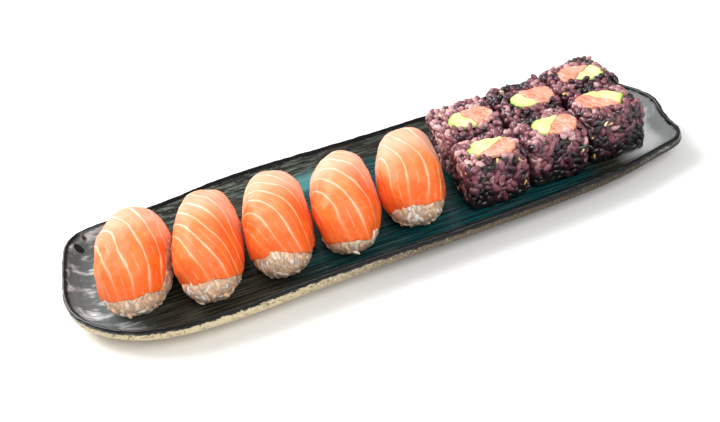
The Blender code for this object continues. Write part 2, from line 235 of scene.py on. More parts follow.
def plate_profile():
    """The profile in short steps, softened, with its length measured from the rim's top."""
    corners = np.array(PLATE_PROFILE)
    lengths = np.concatenate([[0.0], np.cumsum(np.linalg.norm(np.diff(corners, axis=0), axis=1))])
    steps = np.arange(0.0, lengths[-1], PROFILE_STEP)
    profile = np.stack([np.interp(steps, lengths, corners[:, axis]) for axis in (0, 1)], axis=1)
    for _ in range(PROFILE_SOFTENINGS):
        profile[1:-1] = (profile[:-2] + 2 * profile[1:-1] + profile[2:]) / 4
    return profile, steps - steps[profile[:, 1].argmax()]


def make_plate_finish():
    """Glaze over bare clay. Places are in metres, and reach in millimetres in from the rim's top."""
    finish, place = new_finish("stoneware", {"Coat Roughness": 0.08, "Specular IOR Level": 0.2})
    reach = place.mark("reach")
    along = place.part("X")
    depth = place.part("Y")

    brushed = place.grain((46.0, 1.1, 3.0), 4.0, 0.65)
    combed = place.grain((30.0, 0.55, 2.0), 2.0, 0.6)
    dashes = place.grain((11.0, 1.0, 1.4), 4.0, 0.75)
    streaks = place.grain((17.0, 10.0, 9.0), 3.0, 0.55)
    cloud = place.grain((34.0, 16.0, 20.0), 3.0)
    crumbly = place.grain((3.2, 3.2, 1.6), 4.0, 0.75)
    pitted = place.grain(1.3, 3.0, 0.7)
    fine = place.grain(0.5, 1.0)

    # The face: charcoal and teal, grey where the glaze pooled at the left end, and at the right end a
    # painted reflection, silver and paler up the wall; whitish streaks at both ends are painted reflection
    # too
    middle = along.rise(-0.085, -0.005) * (1 - along.rise(0.080, 0.125)) * reach.rise(9.0, 17.0)
    teal = (middle * 1.5 + cloud * 1.1 - 0.75).rise(0.0, 1.0)
    charcoal = brushed.rise(0.40, 0.66).tint("1d1b12", "4f5044")
    sea = brushed.rise(0.36, 0.68).tint("031c20", "17585c")
    glaze = teal.tint(charcoal, sea)
    left_end = 1 - along.rise(-0.142, -0.108)
    right_end = along.rise(0.116, 0.136)
    ends = left_end + right_end
    glaze = (left_end * 0.75).tint(glaze, "687072")
    # Painted reflection: the right end's silver, paler up its wall, and whitish streaks over both ends
    painted_reflection = reach.rise(5.0, 15.0).tint("9ca0a1", "eceded")
    glaze = (right_end * 0.90).tint(glaze, painted_reflection)
    glaze = (ends * streaks.rise(0.50, 0.66) * brushed.rise(0.30, 0.56)).tint(glaze, "d8dddf")

    # The far wall: darker, with a painted teal reflection by its middle, and pale dashes along it that are
    # partly streaks in the glaze and partly painted reflection
    far_wall = depth.rise(0.024, 0.036) * (1 - reach.rise(12.0, 17.0)) * (1 - ends)
    dark = along.rise(-0.060, 0.0).tint("161b15", "1d1916")
    glaze = (far_wall * 0.8).tint(glaze, dark)
    painted_gleam = (1 - abs(along + 0.026).rise(0.010, 0.034)) * depth.rise(0.026, 0.034)
    glaze = (painted_gleam * (1 - depth.rise(0.040, 0.046)) * 0.8).tint(glaze, "4f9496")
    # Painted reflection, partly: pale dashes along the far wall
    dashes_and_glints = far_wall * dashes.rise(0.50, 0.58) * (1 - 0.6 * along.rise(-0.050, 0.0))
    glaze = (dashes_and_glints * 0.8).tint(glaze, "72857a")
    scratch = combed.rise(0.54, 0.68) * (0.22 + 0.10 * far_wall)
    glaze = scratch.tint(glaze, "8f9a8c")

    # The bead on the rim, where the glaze ends in an uneven line and runs lower on the right
    runs = (along + place.grain(40.0, 1.0) * 0.03).rise(-0.130, 0.110) * 0.5
    torn = reach + (crumbly - 0.5) * 4.0
    bead = (torn + runs).rise(-3.2, -2.4) * (1 - torn.rise(1.6, 3.0))
    glaze = bead.tint(glaze, "060607")
    bare = 1 - (torn + runs).rise(-3.3, -2.9)
    glazed = 1 - bare

    # The bare edge: cream on the left, and brown grey to nearly black on the right
    sandy = (along + cloud * 0.05).rise(-0.055, 0.045).tint("d3c29c", "5f5345")
    sandy = (along + cloud * 0.03).rise(0.040, 0.110).tint(sandy, "40372f")
    hollow = along.rise(0.0, 0.06).tint("8a7557", "2c2621")
    sandy = (crumbly.rise(0.50, 0.62) * 0.7).tint(sandy, hollow)
    sandy = pitted.rise(0.54, 0.68).tint(sandy, "6e5a40")
    chalky = fine.rise(0.58, 0.68) * (1 - along.rise(-0.05, 0.05) * 0.8)
    sandy = chalky.tint(sandy, "f0e8d2")

    # The drops of black glaze, measured flat so that their height doesn't count
    flat = place.node("ShaderNodeVectorMath", {"operation": "MULTIPLY"}, {0: place, 1: (1.0, 1.0, 0.0)})
    for x, y, size in GLAZE_SPOTS:
        gap = flat.node("ShaderNodeVectorMath", {"operation": "DISTANCE"},
                        {0: flat, 1: (x * MM, y * MM, 0.0)}, give="Value")
        spot = 1 - (gap / MM + (pitted - 0.5) * 1.5).rise(size, size + 0.6)
        glaze = spot.tint(glaze, "08090a")

    colour = bare.tint(glaze, sandy)
    rough = bare * 0.62 + glazed * (0.14 + 0.20 * brushed + 0.10 * bead + 0.35 * far_wall)
    height = (bare * (crumbly * 1.4 + pitted * 1.0 + fine * 0.6)
              + glazed * (brushed * 0.30 + combed * 0.16 + ends * streaks * 0.6))
    feed(finish, {"Base Color": colour, "Roughness": rough, "Normal": height.relief(0.55),
                  "Coat Weight": glazed * (0.12 + 0.35 * ends) * (1 - far_wall)})
    return finish


def make_plate():
    """The slab, in rings from the foot over the rim to the middle of the floor."""
    outline = plate_outline()
    profile, reach = plate_profile()
    spine = (PLATE_SIZE[0] - PLATE_SIZE[1]) / 2
    centre = np.stack([np.clip(outline[:, 0], -spine, spine), np.zeros(PLATE_AROUND)], axis=1)
    inward = centre - outline
    inward /= np.linalg.norm(inward, axis=1, keepdims=True)
    angle = np.arctan2(outline[:, 1] / PLATE_SIZE[1], outline[:, 0] / PLATE_SIZE[0])
    wave = RIM_WAVE * (np.sin(3 * angle + 0.6) + 0.6 * np.sin(7 * angle + 2.0))

    rings = []
    for (inset, height), length in zip(profile, reach):
        lift = ease(length, -9.0, -4.0) * (1 - ease(length, 2.0, 9.0))
        flat = outline + inward * inset
        rings.append(np.column_stack([flat, height + lift * wave]))
    floor_start = rings[-1]
    for share in FLOOR_SHARES:
        flat = floor_start[:, :2] + (centre - floor_start[:, :2]) * share
        rings.append(np.column_stack([flat, floor_start[:, 2]]))
        reach = np.append(reach, reach[-1] + FLOOR_STEP)
    points = np.concatenate(rings)
    length = np.repeat(reach, PLATE_AROUND)

    # Torn where it was cut, rippled by the comb, and swollen where the glaze pooled
    out = np.tile(np.column_stack([-inward, np.zeros(PLATE_AROUND)]), (len(rings), 1))
    edge = ease(length, -9.0, -6.0) * (1 - ease(length, -1.0, 1.5))
    torn = 0.42 * bumps(points, 3.2, 1.0) + 0.26 * bumps(points, 1.3, 2.0) - 0.30
    inside = ease(length, -1.0, 3.0)
    ripple = (0.13 * bumps(points * (0.05, 0.30, 0.3), 1.0, 3.0)
              + 0.10 * bumps(points * (0.12, 0.9, 0.3), 1.0, 4.0))
    swell = (1.0 * bumps(points * (1.0, 0.45, 0.6), 6.0, 5.0) * ease(points[:, 0], 116.0, 134.0)
             + 0.4 * bumps(points * (0.8, 0.7, 0.6), 9.0, 6.0) * ease(-points[:, 0], 108.0, 130.0))
    points += out * (edge * torn)[:, None]
    points[:, 2] += inside * (ripple + swell * ease(length, 3.0, 8.0))
    points[:, 2] = np.minimum(points[:, 2], HIGHEST_RIM)

    faces = close_ends(len(rings), PLATE_AROUND)
    plate = new_piece("stoneware_plate", points, faces, make_plate_finish(),
                      {"reach": length})
    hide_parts("plate")


make_plate()


# Nigiri rice: a finger of vinegared white rice, pressed in the hand so that the grains
# keep their shape. It shows at the near end, where the grains hang down, along the foot
# of both sides, and at the far end below the slice.

NIGIRI_WAIST = 12.5
ON_FLOOR = 7.3
# Each nigiri's place on the plate, how far it is turned, and its width, length and height
NIGIRI = (
    (-117.6, -4.9, -14.0, (36.2, 61.0, 36.2)),
    (-83.3, -11.1, -12.8, (32.6, 65.0, 36.4)),
    (-49.5, -11.1, -10.2, (32.6, 63.0, 36.9)),
    (-15.9, -11.5, -11.6, (32.4, 60.6, 36.8)),
    (18.0, -7.8, -10.6, (32.8, 58.3, 35.4)))
# How far each slice drapes from straight up, in degrees: left, right, near and far
SLICES = (
    (104.0, 62.0, 79.0, 94.0), (104.0, 84.0, 80.0, 94.0), (104.0, 96.0, 77.0, 94.0),
    (104.0, 90.0, 86.0, 94.0), (104.0, 98.0, 79.0, 94.0))
SLICE_SQUARENESS = 4.0
SECTION_SQUARENESS = 2.5
NEAR_SQUARENESS = 2.6
FAR_SQUARENESS = 2.4
# How deep the rice lies below the nigiri's form where bare and under the slice, and how
# far the top of its core stands above that, among the grains
BARE_INSET = 1.5
UNDER_SLICE = 4.3
CORE_LIFT = 0.30
FINGER_AROUND = 72
FINGER_RINGS = 60
GRAIN_SIZE = (6.0, 2.8, 2.4)
GRAIN_SPACING = 2.05
GRAIN_AROUND = 10
GRAIN_RINGS = 7
GRAIN_BEND = 0.25
# Places tried for the grains of one finger or block, and what starts each finger's draws
GRAIN_TRIES = 9000
FINGER_DRAWS = 20


def grain_form():
    """One grain of length, width and height 2: blunt at its ends and a little bent."""
    place = np.cos(np.linspace(0.0, math.pi, GRAIN_RINGS + 2))[1:-1]
    girth = (1 - np.abs(place) ** 2.3) ** (1 / 2.0)
    turn = np.linspace(0.0, 2 * math.pi, GRAIN_AROUND, endpoint=False)
    rings = [np.column_stack([np.full(GRAIN_AROUND, x), radius * np.cos(turn), radius * np.sin(turn)])
             for x, radius in zip(place, girth)]
    points = np.vstack([[[1.0, 0.0, 0.0]], *rings, [[-1.0, 0.0, 0.0]]])
    points[:, 1] += GRAIN_BEND * (1 - points[:, 0] ** 2)
    faces = [[1 + corner for corner in face] for face in bridge(GRAIN_RINGS, GRAIN_AROUND)]
    last = len(points) - 1
    for index in range(GRAIN_AROUND):
        after = (index + 1) % GRAIN_AROUND
        faces.append([0, 1 + after, 1 + index])
        faces.append([last, last - GRAIN_AROUND + index, last - GRAIN_AROUND + after])
    return points, faces


def lay_grains(centres, lengthwise, outward, sizes, form, rng):
    """Copy a form to each centre, along the directions given, and dent each copy differently."""
    points, faces = form
    lengthwise = lengthwise / np.linalg.norm(lengthwise, axis=1, keepdims=True)
    sideways = np.cross(outward, lengthwise)
    sideways /= np.linalg.norm(sideways, axis=1, keepdims=True)
    axes = np.stack([lengthwise, sideways, np.cross(lengthwise, sideways)], axis=1)
    bend = rng.uniform(-0.35, 0.35, (len(centres), 2))
    taper = rng.uniform(-0.22, 0.22, len(centres))
    forms = np.repeat(points[None], len(centres), axis=0)
    forms[:, :, 1:] *= 1 + taper[:, None, None] * forms[:, :, :1]
    forms[:, :, 1] += bend[:, :1] * (0.4 - forms[:, :, 0] ** 2)
    forms[:, :, 2] += bend[:, 1:] * (0.4 - forms[:, :, 0] ** 2)
    spread = axes * (sizes / 2)[:, :, None]
    laid = np.einsum("npk,nkj->npj", forms, spread) + centres[:, None, :]
    every = [[corner + number * len(points) for corner in face]
             for number in range(len(centres)) for face in faces]
    return laid.reshape(-1, 3), every


def keep_apart(points, spacing):
    """The numbers of the points that keep the spacing from every one kept before."""
    kept = []
    for number, point in enumerate(points):
        if not kept or ((points[kept] - point) ** 2).sum(axis=1).min() > spacing ** 2:
            kept.append(number)
    return kept


def signed_power(value, exponent):
    """A power that keeps the sign of its base."""
    return np.sign(value) * np.abs(value) ** exponent


def pointing(heading, lean):
    """Unit vectors that lean from straight up towards a heading, both in radians."""
    flat = np.sin(lean)
    return np.stack([flat * np.cos(heading), flat * np.sin(heading), np.cos(lean)], axis=-1)


def loaf(number, direction, inset):
    """Points where lines from the middle of a nigiri's waist meet its rounded form."""
    width, length, height = NIGIRI[number][3]
    x, y, z = np.moveaxis(np.abs(direction), -1, 0)
    over = np.where(direction[..., 2] > 0, height - NIGIRI_WAIST - inset, NIGIRI_WAIST)
    ends = np.where(direction[..., 1] < 0, NEAR_SQUARENESS, FAR_SQUARENESS)
    section = (x / (width / 2 - inset)) ** SECTION_SQUARENESS + (z / over) ** SECTION_SQUARENESS
    whole = section ** (ends / SECTION_SQUARENESS) + (y / (length / 2 - inset)) ** ends
    points = direction * (whole ** (-1 / ends))[..., None]
    points[..., 2] = np.maximum(points[..., 2] + NIGIRI_WAIST, 0.0)
    return points


def loaf_outward(number, direction):
    """Which way the rounded form faces at those places."""
    width, length, height = NIGIRI[number][3]
    over = np.where(direction[..., 2] > 0, height - NIGIRI_WAIST, NIGIRI_WAIST)
    spot = loaf(number, direction, 0.0) - (0.0, 0.0, NIGIRI_WAIST)
    halves = np.stack(np.broadcast_arrays(width / 2, length / 2, over), axis=-1)
    facing = signed_power(spot / halves, SECTION_SQUARENESS - 1) / halves
    return facing / np.linalg.norm(facing, axis=-1, keepdims=True)


def slice_reach(number, x, y):
    """How far the slice drapes towards its right or left, and its far or near end."""
    left, right, near, far = np.radians(SLICES[number])
    return np.where(x > 0, right, left), np.where(y > 0, far, near)


def slice_place(number, x, y):
    """Heading and lean of places on the slice, which is a square from -1 to 1 laid flat."""
    most = np.maximum(np.abs(x), np.abs(y)) + 1e-9
    rounded = np.abs(x) ** SLICE_SQUARENESS + np.abs(y) ** SLICE_SQUARENESS + 1e-30
    corner = most / rounded ** (1 / SLICE_SQUARENESS)
    across, along = slice_reach(number, x, y)
    return np.arctan2(y * along, x * across), corner * np.hypot(x * across, y * along)


def slice_edge(number, heading):
    """A small uneven lean in and out along the cut edge, in radians."""
    return np.radians(2.2 * np.sin(3 * heading + 2.0 * number) + 1.4 * np.sin(7 * heading + 1.0 + number)
                      + 0.8 * np.sin(16 * heading + 3.0 * number) + 0.4 * np.sin(41 * heading + number))


def past_edge(number, direction):
    """How far past the slice's edge a place lies, in millimetres, and less than 0 under it."""
    lean = np.arccos(np.clip(direction[..., 2], -1.0, 1.0))
    heading = np.arctan2(direction[..., 1], direction[..., 0])
    across, along = slice_reach(number, direction[..., 0], direction[..., 1])
    x = np.abs(np.cos(heading)) / across
    y = np.abs(np.sin(heading)) / along
    edge = (x ** SLICE_SQUARENESS + y ** SLICE_SQUARENESS) ** (-1 / SLICE_SQUARENESS)
    far = np.linalg.norm(loaf(number, direction, 0.0) - (0.0, 0.0, NIGIRI_WAIST), axis=-1)
    return (lean - edge - slice_edge(number, heading)) * far


def rice_inset(past):
    """How deep the rice lies in the nigiri's form: shallow where bare, deep under the slice."""
    return UNDER_SLICE + (BARE_INSET - UNDER_SLICE) * ease(past, -5.0, 0.8)


def turned(points, degrees):
    """Turn points about the upright axis."""
    cosine, sine = math.cos(math.radians(degrees)), math.sin(math.radians(degrees))
    flat = points[:, :2] @ np.array([[cosine, sine], [-sine, cosine]])
    return np.column_stack([flat, points[:, 2:]])


def set_down(points, place):
    """Turn and move points from a piece's own frame to its place on the plate."""
    x, y, turn = place[:3]
    return turned(points, turn) + (x, y, ON_FLOOR)


def make_white_rice_finish():
    finish, place = new_finish("white_rice", {
        "Subsurface Weight": 0.65, "Subsurface Radius": (1.1, 1.0, 0.9), "Subsurface Scale": MM,
        "Coat Weight": 0.25, "Coat Roughness": 0.22, "Roughness": 0.45})
    cloudy = place.grain(1.6)
    # Tone that differs at random from grain to grain. Its warm tan is partly painted orange light bounced
    # from the salmon, and the near-white of the palest grains is partly painted highlight
    shade = place.mark("shade") + (cloudy - 0.5) * 0.9
    pearl = shade.rise(-0.50, 0.60).tint("e2a680", "f5ccac")
    pearl = shade.rise(0.58, 1.05).tint(pearl, "fff1e6")
    fine = place.grain(0.7, 1.0)
    feed(finish, {"Base Color": pearl, "Normal": fine.relief(0.10)})
    return finish


def rice_core(number):
    """The pressed rice under the grains, as a closed rounded body."""
    heading = np.linspace(-math.pi, math.pi, FINGER_AROUND, endpoint=False)
    lean = np.linspace(0.08, math.pi - 0.12, FINGER_RINGS)
    grid_lean, grid_heading = np.meshgrid(lean, heading, indexing="ij")
    direction = pointing(grid_heading, grid_lean)
    past = past_edge(number, direction)
    points = loaf(number, direction, rice_inset(past) - CORE_LIFT).reshape(-1, 3)
    uneven = 0.40 * bumps(points, 2.6, number) * ease(past.ravel(), -3.0, 0.0)
    points += direction.reshape(-1, 3) * uneven[:, None]
    return points, [face[::-1] for face in close_ends(FINGER_RINGS, FINGER_AROUND)]


def rice_grains(number, rng):
    """Grains over all of the finger that the slice leaves bare."""
    spots = rng.normal(0.0, 1.0, (GRAIN_TRIES, 3))
    direction = spots / np.linalg.norm(spots, axis=1, keepdims=True)
    past = past_edge(number, direction)
    direction = direction[(past > -2.2) & (direction[:, 2] > -0.92)]
    inset = rice_inset(past_edge(number, direction)) + rng.uniform(0.20, 0.95, len(direction))
    centres = loaf(number, direction, inset)
    facing = loaf_outward(number, direction)
    kept = keep_apart(centres, GRAIN_SPACING)
    centres, facing = centres[kept], facing[kept]
    count = len(kept)
    hang = np.tile([0.0, 0.0, -1.0], (count, 1)) + rng.normal(0.0, 0.42, (count, 3))
    hang -= facing * (hang * facing).sum(axis=1)[:, None] * 0.85
    sizes = np.array(GRAIN_SIZE) * rng.uniform(0.80, 1.12, (count, 3))
    points, faces = lay_grains(centres, hang, facing, sizes, grain_form(), rng)
    return points, faces, np.repeat(rng.uniform(0.0, 1.0, count) ** 1.3, len(points) // count)


def cover_core(core, core_shade, grains):
    """Points, faces and shades of a core together with the grains over it."""
    core_points, core_faces = core
    grain_points, grain_faces, shades = grains
    start = len(core_points)
    faces = core_faces + [[corner + start for corner in face] for face in grain_faces]
    points = np.vstack([core_points, grain_points])
    points[:, 2] = np.maximum(points[:, 2], 0.0)
    return points, faces, np.concatenate([np.full(start, core_shade), shades])


def make_nigiri_rice():
    finish = make_white_rice_finish()
    for number, place in enumerate(NIGIRI):
        rng = np.random.default_rng(FINGER_DRAWS + number)
        points, faces, shades = cover_core(rice_core(number), 0.0, rice_grains(number, rng))
        rice = new_piece(f"pressed_rice_{number + 1}", set_down(points, place), faces,
                         finish, {"shade": shades})
        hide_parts(f"nigiri_rice_{number + 1}")


make_nigiri_rice()


# Salmon slices: raw salmon cut on the slant, about 4 mm thick and thinner at its edges,
# laid over the rice so that it hangs down both sides. Curved pale lines of fat cross it,
# nested one inside the next round its near left corner.

SLICE_EDGE = 2.0
SLICE_ACROSS = 64.0
SLICE_ALONG = 84.0
STEPS_ACROSS = 84
STEPS_ALONG = 104
# Middle of each slice's nested fat lines where it lies flat, their spacing, and how far
# the first one is shifted, as a share of that spacing
FAT_LINES = (
    (-112.0, -44.0, 6.6, 0.10), (-80.0, -60.0, 6.4, 0.45), (-70.0, -58.0, 6.2, 0.25),
    (-86.0, -58.0, 6.4, 0.60), (-130.0, -36.0, 6.4, 0.35))
# The length of slice that a radian of lean takes over a side, and over an end
WIDE_TURN = 18.0
LONG_TURN = 27.0


def edge_steps(length, middle):
    """Places from -1 to 1 with close steps at both ends, where the slice is rounded."""
    close = np.array((0.0, 0.12, 0.35, 0.7, 1.2, 1.9)) / length * 2 - 1
    return np.concatenate([close, np.linspace(close[-1], -close[-1], middle)[1:-1], -close[::-1]])


def make_salmon_finish():
    finish, place = new_finish("salmon_slice", {
        "Subsurface Weight": 0.30, "Subsurface Radius": (3.2, 1.2, 0.7), "Subsurface Scale": MM,
        "Coat Weight": 0.10, "Coat Roughness": 0.35, "Specular IOR Level": 0.35})
    upward = place.node("ShaderNodeNewGeometry", give="Normal").part("Z")
    lines = place.mark("lines")
    near = place.mark("near")
    wander = place.grain(5.0, 3.0)
    bend = place.grain(26.0, 0.0)
    cloud = place.grain(12.0)
    across = place.grain((2.4, 0.7, 2.4), 2.0, 0.6)
    fine = place.grain(0.45, 1.0)

    ring = lines + (bend - 0.5) * 1.0 + (wander - 0.5) * 0.10
    off = abs(ring.fraction() - 0.5)
    width = 0.030 + 0.050 * place.grain(11.0).rise(0.32, 0.68)
    strong = (1 - (off / width).rise(0.35, 1.60)) * place.mark("fat")
    strong = strong * (0.35 + 0.65 * near.rise(1.0, 14.0))
    halo = 1 - off.rise(0.03, 0.26)
    faint = (1 - (0.5 - off).rise(0.010, 0.045)) * wander.rise(0.42, 0.60) * 0.3

    body = cloud.rise(0.30, 0.72).tint("f05c0c", "f67c28")
    # Painted light and shade: deeper orange towards the near end, which turns away from the light, and
    # paler where the surface faces up and over the top of the slice, with the fat lines paler there too
    body = (1 - near.rise(2.0, 22.0)).tint(body, "f0600f")
    body = (upward.rise(0.40, 1.0) * 0.34).tint(body, "fb9660")
    further = place.part("X").rise(-0.085, 0.010)
    painted_top_light = (near + 8 * further).rise(30.0, 56.0) * (1 - 0.75 * near.rise(60.0, 76.0))
    body = (painted_top_light * (0.40 + 0.25 * further + 0.6 * cloud)).tint(body, "fcb898")
    body = (across.rise(0.42, 0.70) * 0.24).tint(body, "fb9a5e")
    body = (halo * 0.26).tint(body, "f98a48")
    body = (strong * 0.75 + faint).tint(body, painted_top_light.tint("ffceae", "ffe8da"))
    height = strong * 0.4 + across * 0.35 + wander * 0.5 + fine * 0.15
    rough = 0.38 + 0.20 * wander + 0.10 * across
    feed(finish, {"Base Color": body, "Roughness": rough, "Normal": height.relief(0.28)})
    return finish


def make_slice(number, finish):
    """One slice: its draped top, its under side, and the cut edge between them."""
    x = edge_steps(SLICE_ACROSS, STEPS_ACROSS)
    y = edge_steps(SLICE_ALONG, STEPS_ALONG)
    grid_y, grid_x = np.meshgrid(y, x, indexing="ij")
    heading, lean = slice_place(number, grid_x, grid_y)
    edge = np.maximum(np.abs(grid_x), np.abs(grid_y))
    lean += slice_edge(number, heading) * edge ** 3
    direction = pointing(heading, lean)
    over, down = grid_x * SLICE_ACROSS / 2, grid_y * SLICE_ALONG / 2
    inside = np.minimum(SLICE_ACROSS / 2 - np.abs(over), SLICE_ALONG / 2 - np.abs(down))
    half = SLICE_EDGE / 2
    droop = half - np.sqrt(np.maximum(0.0, half ** 2 - np.maximum(0.0, half - inside) ** 2))
    middle = loaf(number, direction, 0.0).reshape(-1, 3)
    wave = 0.55 + 1.6 * bumps(middle, 17.0, 7.0 + number) + 0.75 * bumps(middle, 7.5, number)
    wave = np.maximum(-0.35, wave + 0.16 * bumps(middle, 2.6, 3.0 + number)).reshape(edge.shape)
    top = loaf(number, direction, wave + droop)
    thick = SLICE_EDGE + (UNDER_SLICE + 0.2 - SLICE_EDGE) * ease(inside, 0.5, 6.0)
    under = loaf(number, direction, np.maximum(thick, wave + SLICE_EDGE) - droop)
    rows, columns = edge.shape
    points = np.vstack([top.reshape(-1, 3), under.reshape(-1, 3)])

    index = np.arange(rows * columns).reshape(rows, columns)
    quads = np.stack([index[:-1, :-1], index[:-1, 1:], index[1:, 1:], index[1:, :-1]], axis=-1)
    quads = quads.reshape(-1, 4)
    below = quads[:, ::-1] + rows * columns
    rim = np.concatenate([index[0, :-1], index[:-1, -1], index[-1, :0:-1], index[:0:-1, 0]])
    after = np.roll(rim, -1)
    walls = np.stack([rim, rim + rows * columns, after + rows * columns, after], axis=-1)
    faces = np.concatenate([quads, below, walls]).tolist()

    centre_over, centre_down, spacing, start = FAT_LINES[number]
    aside, away = lean * np.cos(heading) * WIDE_TURN, lean * np.sin(heading) * LONG_TURN
    rings = np.hypot(aside - centre_over, away - centre_down) / spacing + start
    fat = 0.15 + 0.85 * ease(aside + 0.8 * away, -34.0, -14.0)
    marks = {"lines": rings, "near": down + SLICE_ALONG / 2, "fat": fat}
    marks = {mark: np.tile(values.ravel(), 2) for mark, values in marks.items()}
    piece = new_piece(f"salmon_slice_{number + 1}", set_down(points, NIGIRI[number]), faces,
                      finish, marks)
    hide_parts(f"nigiri_salmon_{number + 1}")


def make_slices():
    finish = make_salmon_finish()
    for number in range(len(NIGIRI)):
        make_slice(number, finish)


make_slices()


# Black rice: each roll piece is a block of sticky black rice, pressed square and cut
# across, so its top shows grains cut short and its sides show whole ones. The cooked
# grains run from near black to mauve, and their colour has bled into their neighbours.

BLOCK_WIDTH = 31.4
BLOCK_HEIGHT = 27.0
# Centre, turn and depth of each piece, front row from the left and then the back row
BLOCKS = (
    (55.0, -19.0, 1.0, 27.5), (87.2, -16.7, 2.0, 27.5), (119.0, -12.9, 3.0, 27.5),
    (55.6, 11.9, 2.0, 31.0), (87.8, 13.3, 1.5, 31.0), (119.4, 17.2, 3.0, 31.0))
# Painted light and shade: how much paler the rice is painted on the left, right, near, far and top of each
# piece, by how the light falls on it
BLOCK_PAINTED_LIGHT = (
    (0.16, 0.22, 0.02, 0.0, 0.44), (0.0, 0.22, 0.02, 0.0, 0.26), (0.0, 0.10, -0.12, 0.0, 0.22),
    (0.42, 0.0, 0.0, 0.05, 0.42), (0.05, 0.0, 0.0, 0.05, 0.16), (0.0, 0.18, 0.0, 0.05, 0.20))
COOKED_GRAIN = (6.0, 3.3, 2.9)
COOKED_SPACING = 2.35
BLOCK_DRAWS = 60
# How far the middles of the grains lie in from the block's sides, ends and top
GRAIN_INSET = (1.1, 1.1, 1.0)
EDGE_ROUNDING = 3.4
# A place whose outward direction rises more than this is on the cut top
FACING_UP = 0.7
CORE_AROUND = 96
CORE_DEPTH = 1.5
CORE_SQUARENESS = 7
# The core's value, below any grain's: near black where it shows, painted shade in the gaps between the
# grains of rice that is dark itself
CORE_SHADE = -0.1
CORE_TOP = BLOCK_HEIGHT - CORE_DEPTH
# Rings of the core, from the filling's way round the outside and back to it: how far out
# towards the wall, how far drawn in from the wall, and how high
CORE_RINGS = (
    (0.0, 0.0, 0.3), (0.5, 0.0, 0.3), (1.0, 2.4, 0.3), (1.0, 0.9, 0.9), (1.0, 0.2, 2.4),
    (1.0, 0.0, 5.0), (1.0, 0.0, 8.5), (1.0, 0.0, 12.0), (1.0, 0.0, 15.5), (1.0, 0.0, 19.0),
    (1.0, 0.0, 22.0), (1.0, 0.4, CORE_TOP - 1.3), (1.0, 1.3, CORE_TOP - 0.4), (1.0, 2.4, CORE_TOP),
    (0.66, 0.0, CORE_TOP), (0.33, 0.0, CORE_TOP), (0.0, 0.0, CORE_TOP), (0.0, 0.0, 14.0))
# Filling of each piece: its offset, its turn, the turn and the offset of the line that
# parts the avocado from the salmon, and the side of that line the avocado is on
FILLINGS = (
    (1.2, -1.8, -20.0, 26.0, 0.0, 1), (2.4, -2.4, -18.0, 50.0, 0.5, 1),
    (-1.0, 2.0, -28.0, -55.0, 1.0, 1), (2.0, -3.6, 0.0, -72.0, -1.0, -1),
    (3.0, -4.2, -5.0, -70.0, -2.0, -1), (1.3, -0.9, -24.0, 36.0, 0.0, -1))
FILLING_SIZE = np.array((22.5, 15.0))
FILLING_SQUARENESS = 2.4


def filling_outline(number, grow, count):
    """The rounded outline that both sticks of a filling make together."""
    x, y, turn = FILLINGS[number][:3]
    angle = np.linspace(0.0, 2 * math.pi, count, endpoint=False)
    circle = np.column_stack([np.cos(angle), np.sin(angle)])
    flat = (FILLING_SIZE / 2 + grow) * signed_power(circle, 2 / FILLING_SQUARENESS)
    return turned(flat, turn) + (x, y)


def beyond_filling(number, points):
    """1 where a point lies on the filling's outline, less inside it and more outside."""
    x, y, turn = FILLINGS[number][:3]
    flat = np.abs(turned(points[:, :2] - (x, y), -turn)) / (FILLING_SIZE / 2)
    return (flat ** FILLING_SQUARENESS).sum(axis=1) ** (1 / FILLING_SQUARENESS)


def make_black_rice_finish():
    finish, place = new_finish("black_rice", {
        "Subsurface Weight": 0.25, "Subsurface Radius": (1.6, 0.8, 0.8), "Subsurface Scale": MM,
        "Coat Weight": 0.50, "Coat Roughness": 0.15, "Roughness": 0.42})
    patch = place.grain(2.2, 3.0, 0.6)
    fine = place.grain(0.6, 1.0)
    shade = place.mark("shade") + (patch - 0.5) * 0.55
    dark = shade.rise(0.08, 0.42).tint("12080c", "48202e")
    mauve = shade.rise(0.38, 0.76).tint(dark, "8c505a")
    colour = shade.rise(0.74, 1.15).tint(mauve, "d4a6a4")
    feed(finish, {"Base Color": colour, "Normal": (fine * 0.6 + patch).relief(0.14)})
    return finish


def block_core(number):
    """The sticky middle of a block: a closed body with the filling's way through it."""
    half = np.array((BLOCK_WIDTH, BLOCKS[number][3])) / 2 - CORE_DEPTH
    hole = filling_outline(number, 0.2, CORE_AROUND)
    angle = np.arctan2(hole[:, 1] - FILLINGS[number][1], hole[:, 0] - FILLINGS[number][0])
    heading = np.column_stack([np.cos(angle), np.sin(angle)])
    sides = (np.abs(heading) / half) ** CORE_SQUARENESS
    reach = sides.sum(axis=1, keepdims=True) ** (-1 / CORE_SQUARENESS)
    wall = heading * reach
    rings = []
    for share, draw, height in CORE_RINGS:
        flat = hole + (wall * (1 - draw / reach) - hole) * share
        ring = np.column_stack([flat, np.full(CORE_AROUND, height)])
        lump = bumps(ring, 4.0, 10.0 + number) * min(1.0, 2 * share)
        ring[:, :2] += heading * (0.5 * lump * (draw < 1.0))[:, None]
        rings.append(ring)
    points = np.concatenate(rings)
    faces = bridge(len(rings), CORE_AROUND)
    start = np.arange(CORE_AROUND)
    after, last = np.roll(start, -1), (len(rings) - 1) * CORE_AROUND
    faces += np.stack([last + start, last + after, after, start], axis=-1).tolist()
    return points, faces


